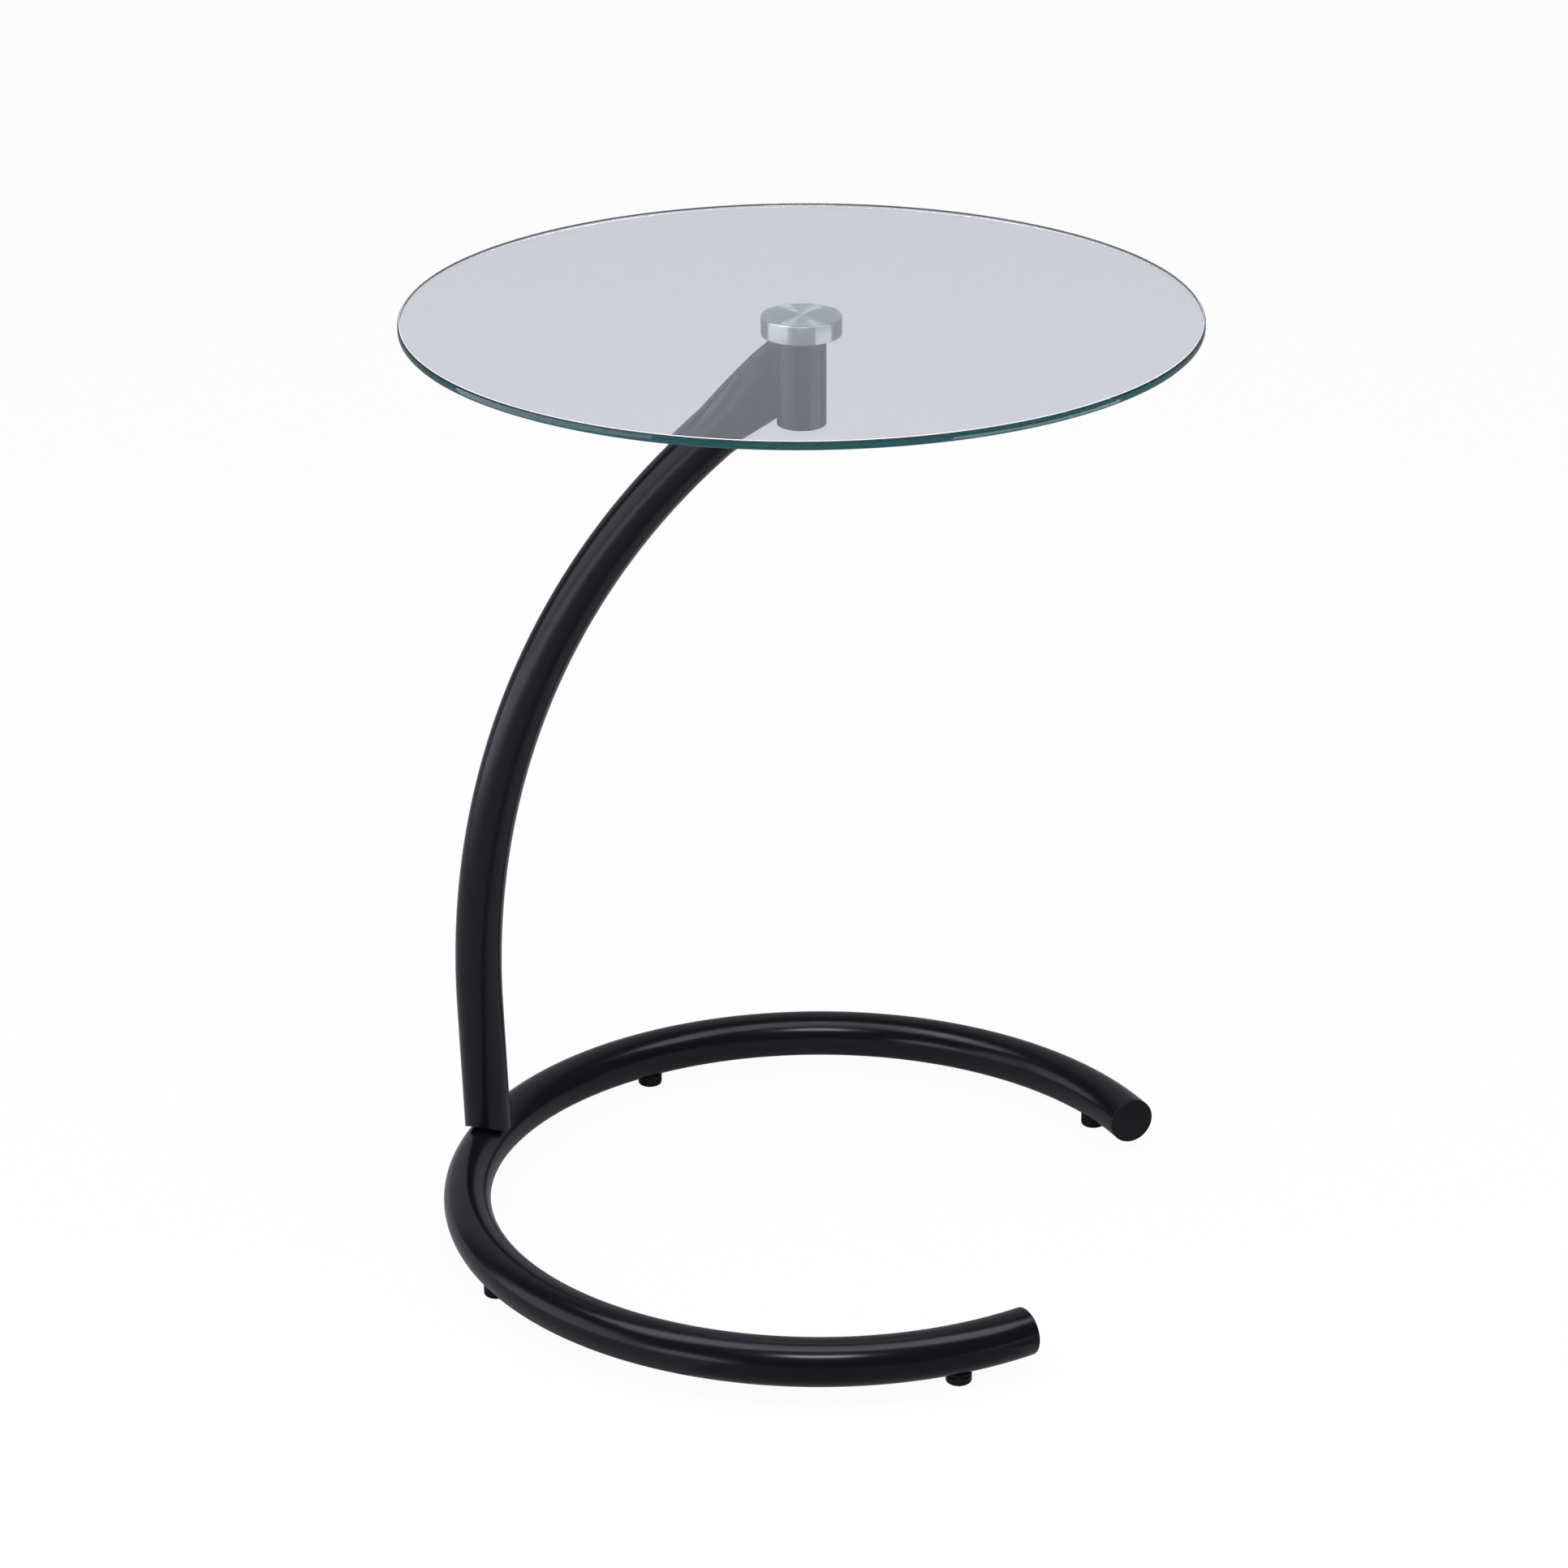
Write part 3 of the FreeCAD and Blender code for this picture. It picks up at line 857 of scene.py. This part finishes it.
    def border(self, inside: float, outside: float, test: Callable[[float], bool]) -> float:
        """Distance along the tube at which a test stops holding.

        Args:
            inside: Distance at which it holds.
            outside: Distance at which it doesn't.
            test: Takes a distance.

        Returns:
            The last distance found to hold.
        """
        for _ in range(self.search_rounds):
            middle = (inside + outside) / 2
            inside, outside = (middle, outside) if test(middle) else (inside, middle)
        return inside

    def loops(self, turn: float) -> list[Vector]:
        """Points of one line that runs the length of the tube.

        Args:
            turn: Round the tube.

        Returns:
            The points, from the saddle cut to the coped end.
        """
        foot = self.border(
            self.lower_straight,
            -self.tube_radius,
            lambda distance: self.over_saddle(self.skin(distance, turn)),
        )
        press = self.length - self.pressed_length
        end = self.border(
            press,
            self.length + 2 * self.tube_radius,
            lambda distance: self.before_post(self.skin(distance, turn)),
        )
        marks = [foot, self.lower_straight, press, end]
        counts = [self.foot_loops, self.bend_loops, self.press_loops]
        distances = [
            low + (high - low) * i / count
            for low, high, count in zip(marks, marks[1:], counts)
            for i in range(count)
        ]
        return [self.skin(distance, turn) for distance in distances + [end]]

    def build(self) -> None:
        """Extrude the tube loop by loop and give it its wall."""
        piece = start_circle("bent_tube", self.tube_radius, self.vertices, self.crown)
        turns = [math.tau * i / self.vertices for i in range(self.vertices)]
        lines = [self.loops(turn) for turn in turns]
        with editing(piece) as mesh:
            mesh.verts.ensure_lookup_table()
            for vertex, line in zip(mesh.verts, lines):
                vertex.co = line[0]
            bmesh.update_edit_mesh(piece.data)
            for step in range(1, len(lines[0])):
                bpy.ops.mesh.extrude_region_move()
                mesh = bmesh.from_edit_mesh(piece.data)
                mesh.verts.ensure_lookup_table()
                fresh = mesh.verts[-self.vertices :]
                for vertex, line in zip(fresh, lines):
                    vertex.co = line[step]
                bmesh.update_edit_mesh(piece.data)
            bpy.ops.mesh.select_all(action="SELECT")
            bpy.ops.mesh.normals_make_consistent(inside=False)
        modify(piece, "SOLIDIFY", thickness=self.wall, offset=-1.0)
        smooth(piece)
        self.dresser.seat(piece, Slot.COAT, "upright_tube")


@dataclass
class WeldBeads:
    """Beads in the two corners between the coped end and the post."""

    dresser: Dresser
    face_radius: float = 2.4 * MM
    sink: float = 1.0 * MM
    length: float = 36.0 * MM
    ripple: float = 1.7 * MM
    ripple_depth: float = 0.16 * MM
    steps_per_ripple: int = 5
    # rims of the rounded lower end, and where the first stands, in steps from its tip
    end_steps: int = 5
    first_step: float = 0.3
    vertices: int = 28
    half_thickness: float = 6.4 * MM
    top_clearance: float = 0.3 * MM

    def build(self) -> None:
        """Model one rippled bead and copy it to the other side."""
        post_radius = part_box("post_tube")[1].x
        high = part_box("mount_disc")[0].z - self.top_clearance
        low = high - self.length + self.face_radius
        corner = Vector(
            (-math.sqrt(post_radius**2 - self.half_thickness**2), self.half_thickness, 0)
        )
        along_post = Vector((self.half_thickness, -corner.x, 0)) / post_radius
        outward = (Vector((-1.0, 0.0, 0.0)) + along_post).normalized()
        axis = corner - outward * self.sink
        steps = self.end_steps + self.first_step
        angles = [math.pi / 2 * (i + self.first_step) / steps for i in range(self.end_steps)]
        profile = [
            (self.face_radius * math.sin(angle), low - self.face_radius * math.cos(angle))
            for angle in angles
        ]
        count = round((high - low) / self.ripple) * self.steps_per_ripple
        for i in range(count + 1):
            phase = (i / self.steps_per_ripple) % 1.0
            swell = math.sqrt(math.sin(math.pi * phase)) - 1
            profile.append(
                (self.face_radius + self.ripple_depth * swell, low + (high - low) * i / count)
            )
        for side, sign in (("left", 1), ("right", -1)):
            place = Vector((axis.x, axis.y * sign, 0))
            bead = turned(f"weld_bead_{side}", profile, self.vertices, axis=place)
            self.dresser.seat(bead, Slot.COAT, f"post_weld_{side}")


@dataclass
class BaseRing:
    """Open ring of tube with holes for the upright's bolt and for the feet."""

    dresser: Dresser
    tube_radius: float = 15.9 * MM
    wall: float = 1.5 * MM
    ring_radius: float = 240.0 * MM
    centre: Vector = Vector((11.0 * MM, 0.0, 23.5 * MM))
    end_angle: float = math.radians(40.5)
    lean: float = math.radians(-1.85)
    access_radius: float = 8.5 * MM
    bolt_hole_radius: float = 4.5 * MM
    foot_hole_radius: float = 5.6 * MM
    foot_angles: tuple[float, ...] = (52.0, 137.0, 223.0, 308.0)
    vertices: int = 72
    steps: int = 186
    hole_vertices: int = 48
    merge_distance: float = 0.001 * MM

    def drill(self, radius: float, low: Vector, high: Vector) -> bpy.types.Object:
        """Cutter for one hole.

        Args:
            radius: Of the hole.
            low: Middle of the cutter's lower end.
            high: Middle of its upper end.

        Returns:
            The cutter, its place in its mesh.
        """
        way = high - low
        deselect()
        bpy.ops.mesh.primitive_cylinder_add(
            vertices=self.hole_vertices,
            radius=radius,
            depth=way.length,
            location=(low + high) / 2,
            rotation=way.to_track_quat("Z", "Y").to_euler(),
        )
        cutter = bpy.context.object
        settle(cutter)
        return cutter

    def build(self) -> None:
        """Spin the tube, give it its wall and drill it."""
        start = self.centre + self.ring_radius * Vector(
            (math.cos(self.end_angle), math.sin(self.end_angle), 0)
        )
        piece = start_circle(
            "ring_tube",
            self.tube_radius,
            self.vertices,
            start,
            (math.pi / 2, 0.0, self.end_angle),
        )
        with editing(piece):
            bpy.ops.mesh.select_all(action="SELECT")
            bpy.ops.mesh.spin(
                steps=self.steps,
                angle=math.tau - 2 * self.end_angle,
                center=self.centre,
                axis=-UP,
            )
            bpy.ops.mesh.select_all(action="SELECT")
            bpy.ops.mesh.remove_doubles(threshold=self.merge_distance)
            bpy.ops.mesh.normals_make_consistent(inside=False)
        modify(piece, "SOLIDIFY", thickness=self.wall, offset=-1.0)
        joint = self.centre - Vector((self.ring_radius, 0, 0))
        lean = Vector((math.sin(self.lean), 0, math.cos(self.lean)))
        reach = 2 * self.tube_radius
        cutters = [
            self.drill(self.access_radius, joint - lean * reach, joint),
            self.drill(self.bolt_hole_radius, joint, joint + lean * reach),
        ]
        for angle in self.foot_angles:
            turn = math.radians(angle)
            place = self.centre + self.ring_radius * Vector((math.cos(turn), math.sin(turn), 0))
            cutters.append(self.drill(self.foot_hole_radius, place - UP * reach, place))
        for cutter in cutters:
            modify(piece, "BOOLEAN", object=cutter, operation="DIFFERENCE", solver="EXACT")
            bpy.data.objects.remove(cutter)
        smooth(piece)
        self.dresser.seat(piece, Slot.COAT, "base_ring")


@dataclass
class PackedParts:
    """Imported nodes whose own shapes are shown, each with its finish."""

    dresser: Dresser
    nodes: dict[str, bpy.types.Object]
    coated: tuple[str, ...] = ("post_tube", "post_top_plate", "upright_insert")
    moulded: tuple[str, ...] = ("post_plug", "ring_cap_left", "ring_cap_right")
    top_hardware: tuple[str, ...] = ("top_flat_washer", "top_spring_washer", "top_bolt")
    base_hardware: tuple[str, ...] = ("saddle_washer", "base_spring_washer", "base_bolt")
    feet: int = 4

    def build(self) -> None:
        """Dress them all."""
        finishes = {
            Slot.COAT: [*self.coated],
            Slot.PLASTIC: [*self.moulded],
            Slot.ZINC: [*self.top_hardware, *self.base_hardware],
        }
        for number in range(1, self.feet + 1):
            finishes[Slot.PLASTIC] += [f"foot_insert_{number}", f"foot_pad_{number}"]
            finishes[Slot.ZINC].append(f"foot_stud_{number}")
        for slot, names in finishes.items():
            for name in names:
                self.dresser.keep(self.nodes[name], slot)


# ---- studio ----
@dataclass(frozen=True)
class Panel:
    """Soft-edged round panel of the surroundings: where it is and how bright."""

    bearing: float
    elevation: float
    reach: float
    softness: float
    level: float

    def share(
        self, tree: bpy.types.NodeTree, way: bpy.types.NodeSocket, behind: Vector
    ) -> bpy.types.NodeSocket:
        """Level of the panel in each direction.

        Args:
            tree: Node tree of the surroundings.
            way: Direction looked in.
            behind: Level unit vector that bearings are counted from, to the right.

        Returns:
            Its level inside, falling to 0 over the soft edge.
        """
        bearing, elevation = math.radians(self.bearing), math.radians(self.elevation)
        level = behind * math.cos(bearing) + behind.cross(UP) * math.sin(bearing)
        middle = level * math.cos(elevation) + UP * math.sin(elevation)
        nearness = add_node(
            tree, "ShaderNodeVectorMath", {0: way, 1: middle}, operation="DOT_PRODUCT"
        ).outputs["Value"]
        return add_node(
            tree,
            "ShaderNodeMapRange",
            {
                "Value": nearness,
                "From Min": math.cos(math.radians(self.reach + self.softness)),
                "From Max": math.cos(math.radians(self.reach)),
                "To Max": self.level,
            },
            interpolation_type="SMOOTHSTEP",
        ).outputs["Result"]


@dataclass(frozen=True)
class Lamp:
    """Softbox in front of the table or above it, facing its base."""

    name: str
    forward: float
    height: float
    width: float
    depth: float
    watts: float
    colour: tuple[float, float, float] = (0.92, 0.95, 1.0)
    # it faces the spot on the floor this far in front of the table's middle
    aim_forward: float = 0.24

    def build(self, front: Vector) -> None:
        """Add it.

        Args:
            front: Level unit vector from the table towards the camera's side.
        """
        data = bpy.data.lights.new(self.name, "AREA")
        data.shape, data.energy, data.color = "RECTANGLE", self.watts, self.colour
        data.size, data.size_y = self.width, self.depth
        lamp = bpy.data.objects.new(self.name, data)
        bpy.context.scene.collection.objects.link(lamp)
        across = front.cross(UP)
        place = front * self.forward + UP * self.height
        back = (place - front * self.aim_forward).normalized()
        matrix = Matrix((-across, back.cross(-across), back)).transposed().to_4x4()
        matrix.translation = place
        lamp.matrix_world = matrix


@dataclass
class Camera:
    """Camera at the viewing angle."""

    place: Vector = Vector((0.80862, -2.73709, 1.51796))
    right: Vector = Vector((0.958312, 0.285697, -0.004436))
    up: Vector = Vector((-0.106676, 0.372036, 0.922068))
    lens_mm: float = 107.825
    sensor_mm: float = 36.0
    nearest: float = 0.05
    farthest: float = 100.0

    def build(self) -> None:
        """Add it and make it the scene's camera."""
        data = bpy.data.cameras.new("camera")
        data.lens, data.sensor_width = self.lens_mm, self.sensor_mm
        data.clip_start, data.clip_end = self.nearest, self.farthest
        camera = bpy.data.objects.new("camera", data)
        bpy.context.scene.collection.objects.link(camera)
        right = self.right.normalized()
        back = right.cross(self.up).normalized()
        above = back.cross(right)
        matrix = Matrix((right, above, back)).transposed().to_4x4()
        matrix.translation = self.place
        camera.matrix_world = matrix
        bpy.context.scene.camera = camera


@dataclass(frozen=True)
class Card:
    """Card on the floor that only reflections show."""

    name: str
    bearing_from: float
    bearing_to: float
    near: float
    far: float
    level: float
    colour: str = "#eff1ff"
    lift: float = 2.0 * MM

    def build(self, front: Vector) -> None:
        """Add it.

        Args:
            front: Level unit vector that bearings are counted from, to the left.
        """
        left = front.cross(UP)
        corners = [
            (self.bearing_from, self.near),
            (self.bearing_from, self.far),
            (self.bearing_to, self.far),
            (self.bearing_to, self.near),
        ]
        card = start_circle(self.name, self.far, len(corners), UP * self.lift, filled=True)
        with editing(card) as mesh:
            for vertex, (bearing, distance) in zip(mesh.verts, corners):
                turn = math.radians(bearing)
                way = front * math.cos(turn) + left * math.sin(turn)
                vertex.co = way * distance + UP * self.lift
            bmesh.update_edit_mesh(card.data)
            bpy.ops.mesh.select_all(action="SELECT")
            bpy.ops.mesh.normals_make_consistent(inside=False)
        material = bpy.data.materials.new(self.name)
        tree = new_tree(material)
        shown = add_node(
            tree, "ShaderNodeEmission", {"Color": linear(self.colour), "Strength": self.level}
        ).outputs["Emission"]
        add_node(tree, "ShaderNodeOutputMaterial", {"Surface": shown})
        card.data.materials.append(material)
        card.visible_camera = card.visible_diffuse = card.visible_shadow = False
        card.visible_transmission = card.visible_volume_scatter = False


@dataclass
class Studio:
    """Pale floor, even surroundings and soft lamps."""

    floor_size: float = 24.0
    floor_colour: str = "#b4b4b4"
    floor_seen_colour: str = "#fafafa"
    white: str = "#ffffff"
    # share of plain white where the floor is seen; the rest shows shadows
    floor_white: float = 0.95
    fill_level: float = 0.6
    fill_colour: str = "#f3f5ff"
    behind: Vector = Vector((-0.2874, 0.9578, 0.0))
    # a ray has met one mirror, or two, once its glossy depth is above these
    one_mirror: float = 0.5
    two_mirrors: float = 1.5
    # what a mirror shows of the room: dark, with a pale wall behind the table
    room_level: float = 0.1
    # level at the end of the many reflections between the two faces of the glass
    inside_glass_level: float = 0.95
    # bearing, elevation, reach and softness in degrees, and level
    walls: tuple[Panel, ...] = (
        Panel(0.0, 12.0, 38.0, 22.0, 0.28),
        Panel(-100.0, 4.0, 20.0, 12.0, 1.4),
        Panel(-141.0, 4.0, 9.0, 6.0, 2.5),
    )
    # lamps as they are seen from under the glass, as panels of the sky
    panels: tuple[Panel, ...] = (
        Panel(0.0, 90.0, 120.0, 40.0, 0.2),
        Panel(0.0, 15.0, 35.0, 15.0, 0.55),
        Panel(-15.0, 50.0, 3.0, 2.5, 17.0),
        Panel(15.0, 50.0, 3.0, 2.5, 17.0),
        Panel(-100.0, 42.0, 22.0, 8.0, 5.0),
    )
    # name, place in front of the table and height, width and depth in metres, and watts
    lamps: tuple[Lamp, ...] = (
        Lamp("overhead", 0.22, 1.65, 2.6, 0.8, 19.0),
        Lamp("front", 1.42, 1.63, 0.6, 0.22, 7.6),
    )
    # name, two bearings in degrees, two distances in metres, and level
    cards: tuple[Card, ...] = (
        Card("dark_card_front", -34.0, 18.0, 0.2, 1.55, 0.32),
        Card("grey_card_front", -34.0, 18.0, 1.56, 3.6, 0.55),
        Card("dark_card_right", -110.0, -35.0, 0.3, 1.08, 0.25),
        Card("pale_card_left", 19.0, 110.0, 0.36, 1.25, 0.48),
        Card("grey_card_left", 30.0, 108.0, 1.27, 1.72, 0.8),
        Card("white_card_left", 40.0, 108.0, 1.74, 7.0, 2.2),
        Card("white_card_right", -96.0, -40.0, 1.1, 2.12, 3.3),
    )
    # light goes round inside the glass rim many times before it leaves
    bounces: int = 32

    def floor(self) -> None:
        """Floor that shows white and keeps a soft shadow."""
        deselect()
        bpy.ops.mesh.primitive_plane_add(size=self.floor_size)
        floor = bpy.context.object
        floor.name = "floor"
        material = bpy.data.materials.new("pale_floor")
        tree = new_tree(material)
        white = add_node(
            tree, "ShaderNodeEmission", {"Color": linear(self.white), "Strength": 1.0}
        ).outputs["Emission"]
        seen = seen_plainly(tree)
        # paler where it is seen than in mirrors and in the light it sends back
        colour = add_node(
            tree,
            "ShaderNodeMix",
            {
                "Factor": seen,
                MIX_A: linear(self.floor_colour),
                MIX_B: linear(self.floor_seen_colour),
            },
            data_type="RGBA",
        ).outputs[MIX_RESULT]
        lit = add_node(tree, "ShaderNodeBsdfDiffuse", {"Color": colour}).outputs["BSDF"]
        share = add_node(
            tree, MATH, {0: seen, 1: self.floor_white}, operation="MULTIPLY"
        ).outputs[0]
        mixed = add_node(
            tree, "ShaderNodeMixShader", {"Fac": share, 1: lit, 2: white}
        ).outputs["Shader"]
        add_node(tree, "ShaderNodeOutputMaterial", {"Surface": mixed})
        floor.data.materials.append(material)

    def total(
        self, tree: bpy.types.NodeTree, start: float, panels: tuple[Panel, ...]
    ) -> bpy.types.NodeSocket:
        """Level of the surroundings with some panels added.

        Args:
            tree: Node tree of the surroundings.
            start: Level without them.
            panels: What is added.

        Returns:
            The level in each direction.
        """
        way = add_node(tree, "ShaderNodeTexCoord").outputs["Generated"]
        level: Any = start
        for panel in panels:
            share = panel.share(tree, way, self.behind)
            level = add_node(tree, MATH, {0: level, 1: share}, operation="ADD").outputs[0]
        return level

    def mirrored_room(
        self, tree: bpy.types.NodeTree, path: bpy.types.NodeOutputs
    ) -> bpy.types.NodeSocket:
        """What mirrors and the faces of the glass show of the room.

        Args:
            tree: Node tree of the surroundings.
            path: Outputs of its Light Path node.

        Returns:
            The level in each direction.
        """
        through = add_node(
            tree,
            MATH,
            {0: self.total(tree, 0.0, self.panels), 1: path["Is Transmission Ray"]},
            operation="MULTIPLY",
        ).outputs[0]
        room = add_node(
            tree,
            MATH,
            {0: self.total(tree, self.room_level, self.walls), 1: through},
            operation="ADD",
        ).outputs[0]
        inside = add_node(
            tree, MATH, {0: path["Glossy Depth"], 1: self.two_mirrors}, operation="GREATER_THAN"
        ).outputs[0]
        return add_node(
            tree,
            "ShaderNodeMix",
            {"Factor": inside, NUMBER_A: room, NUMBER_B: self.inside_glass_level},
            data_type="FLOAT",
        ).outputs["Result"]

    def surroundings(self) -> None:
        """White where it is seen, a dark room with a pale wall in mirrors, and an even fill."""
        world = bpy.data.worlds.new("studio")
        bpy.context.scene.world = world
        tree = new_tree(world)
        # the levels differ by kind of ray, so the surroundings are sampled by the surfaces
        world.cycles.sampling_method = "NONE"
        path = add_node(tree, "ShaderNodeLightPath").outputs
        mirrored = add_node(
            tree, MATH, {0: path["Glossy Depth"], 1: self.one_mirror}, operation="GREATER_THAN"
        ).outputs[0]
        sharp = seen_plainly(tree)
        either = {0: sharp, 1: path["Is Glossy Ray"]}
        seeing = add_node(tree, MATH, either, operation="MAXIMUM").outputs[0]
        direct = add_node(tree, MATH, {0: 1.0, 1: mirrored}, operation="SUBTRACT").outputs[0]
        reflected, plain = (
            add_node(tree, MATH, {0: kind, 1: case}, operation="MULTIPLY").outputs[0]
            for kind, case in ((seeing, mirrored), (sharp, direct))
        )
        shown = add_node(
            tree,
            "ShaderNodeMix",
            {"Factor": sharp, NUMBER_A: self.fill_level, NUMBER_B: 1.0},
            data_type="FLOAT",
        ).outputs["Result"]
        level = add_node(
            tree,
            "ShaderNodeMix",
            {"Factor": reflected, NUMBER_A: shown, NUMBER_B: self.mirrored_room(tree, path)},
            data_type="FLOAT",
        ).outputs["Result"]
        colour = add_node(
            tree,
            "ShaderNodeMix",
            {"Factor": plain, MIX_A: linear(self.fill_colour), MIX_B: linear(self.white)},
            data_type="RGBA",
        ).outputs[MIX_RESULT]
        light = add_node(
            tree, "ShaderNodeBackground", {"Color": colour, "Strength": level}
        ).outputs["Background"]
        add_node(tree, "ShaderNodeOutputWorld", {"Surface": light})

    def build(self) -> None:
        """Set up floor, surroundings, lamps and cards."""
        self.floor()
        self.surroundings()
        for lamp in self.lamps:
            lamp.build(-self.behind)
        for card in self.cards:
            card.build(-self.behind)
        scene = bpy.context.scene
        scene.view_settings.view_transform = "Standard"
        scene.cycles.max_bounces = self.bounces
        scene.cycles.transmission_bounces = self.bounces
        scene.cycles.glossy_bounces = self.bounces


def main() -> None:
    """Load the frame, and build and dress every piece."""
    logging.basicConfig(level=logging.INFO, format="%(name)s: %(message)s")
    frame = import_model()
    Camera().build()
    Studio().build()
    finishes = {
        Slot.GLASS: FLOAT_GLASS,
        Slot.ADHESIVE: ADHESIVE,
        Slot.ALUMINIUM: TurnedAluminium(),
        Slot.COAT: POWDER_COAT,
        Slot.PLASTIC: MOULDED_PLASTIC,
        Slot.ZINC: ZINC_PLATE,
    }
    dresser = Dresser({slot: finish.material() for slot, finish in finishes.items()})
    RoundTop(dresser).build()
    Upright(dresser).build()
    WeldBeads(dresser).build()
    BaseRing(dresser).build()
    PackedParts(dresser, frame["nodes"]).build()


if __name__ == "__main__":
    main()
